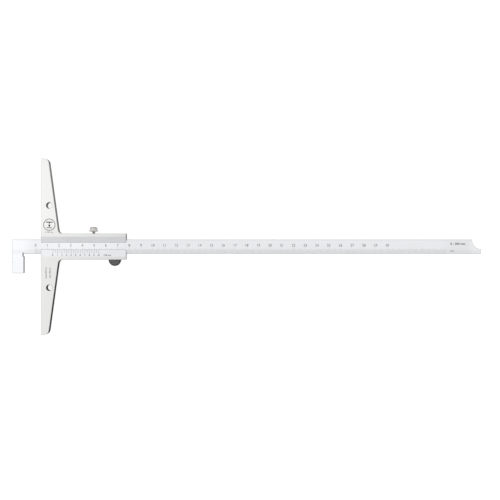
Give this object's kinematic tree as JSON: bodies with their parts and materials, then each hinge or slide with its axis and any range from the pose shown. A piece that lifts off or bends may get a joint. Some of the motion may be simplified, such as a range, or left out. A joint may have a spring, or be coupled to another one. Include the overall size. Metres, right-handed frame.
{
  "type": "vernier depth gauge",
  "caption": "Vernier depth gauge: a hooked rule slides through a flat bridge, driven by a knurled thumb roller and locked by a thumb screw.",
  "frame": {"origin": "on the bridge's measuring face, on the rule's centreline, in the plane of the back", "axes": "+X along the rule from the hook towards its tip, +Y along the bridge away from the hook's nose, +Z from the back towards the engraved scale side"},
  "size_m": [0.4, 0.15, 0.0085],
  "materials": {
    "rule_steel": "hardened stainless steel, satin-chromed scale face, ground edges",
    "frame_steel": "hardened stainless steel, fine-ground faces, lapped measuring face",
    "cover_steel": "ground steel plate",
    "screw_steel": "dark machine-screw steel",
    "clamp_chrome": "bright nickel-chromed, straight knurl",
    "spring_bronze": "rolled phosphor-bronze strip",
    "bush_brass": "turned brass",
    "pin_steel": "ground pin",
    "roller_black": "black knurled hard rubber-plastic",
    "fork_black": "blackened spring steel"
  },
  "bodies": {
    "frame": {"base_frame": "frame_steel", "back_cover": "cover_steel", "cover_screws": "screw_steel", "gib_strip": "spring_bronze", "gib_screws": "screw_steel", "roller_axle": "pin_steel", "roller_fork": "fork_black", "fork_screws": "screw_steel"},
    "rule": {"hook_rule": "rule_steel"},
    "roller": {"thumb_roller": "roller_black", "roller_bush": "bush_brass"},
    "clamp_pad": {"clamp_pad": "bush_brass"},
    "clamp_screw": {"clamp_screw": "clamp_chrome"}
  },
  "joints": [
    {"name": "rule_slide", "type": "slide", "parent": "frame", "child": "rule", "axis": [-1, 0, 0], "range_m": [-0.015, 0.285]},
    {"name": "roller_spin", "type": "hinge", "parent": "frame", "child": "roller", "pos_m": [0.0625, -0.0113, 0.00415], "axis": [0, 0, 1], "continuous": true},
    {"name": "clamp_travel", "type": "slide", "parent": "frame", "child": "clamp_pad", "axis": [0, -1, 0], "range_m": [-0.0009, 0.00012]},
    {"name": "clamp_turn", "type": "hinge", "parent": "clamp_pad", "child": "clamp_screw", "pos_m": [0.0444, 0.0125, 0.00415], "axis": [0, -1, 0], "range_deg": [-721, 97]}
  ],
  "couplings": [
    {"joint": "roller_spin", "follows": "rule_slide", "rad_per_m": 190.48},
    {"joint": "clamp_turn", "follows": "clamp_travel", "rad_per_m": 13963}
  ]
}
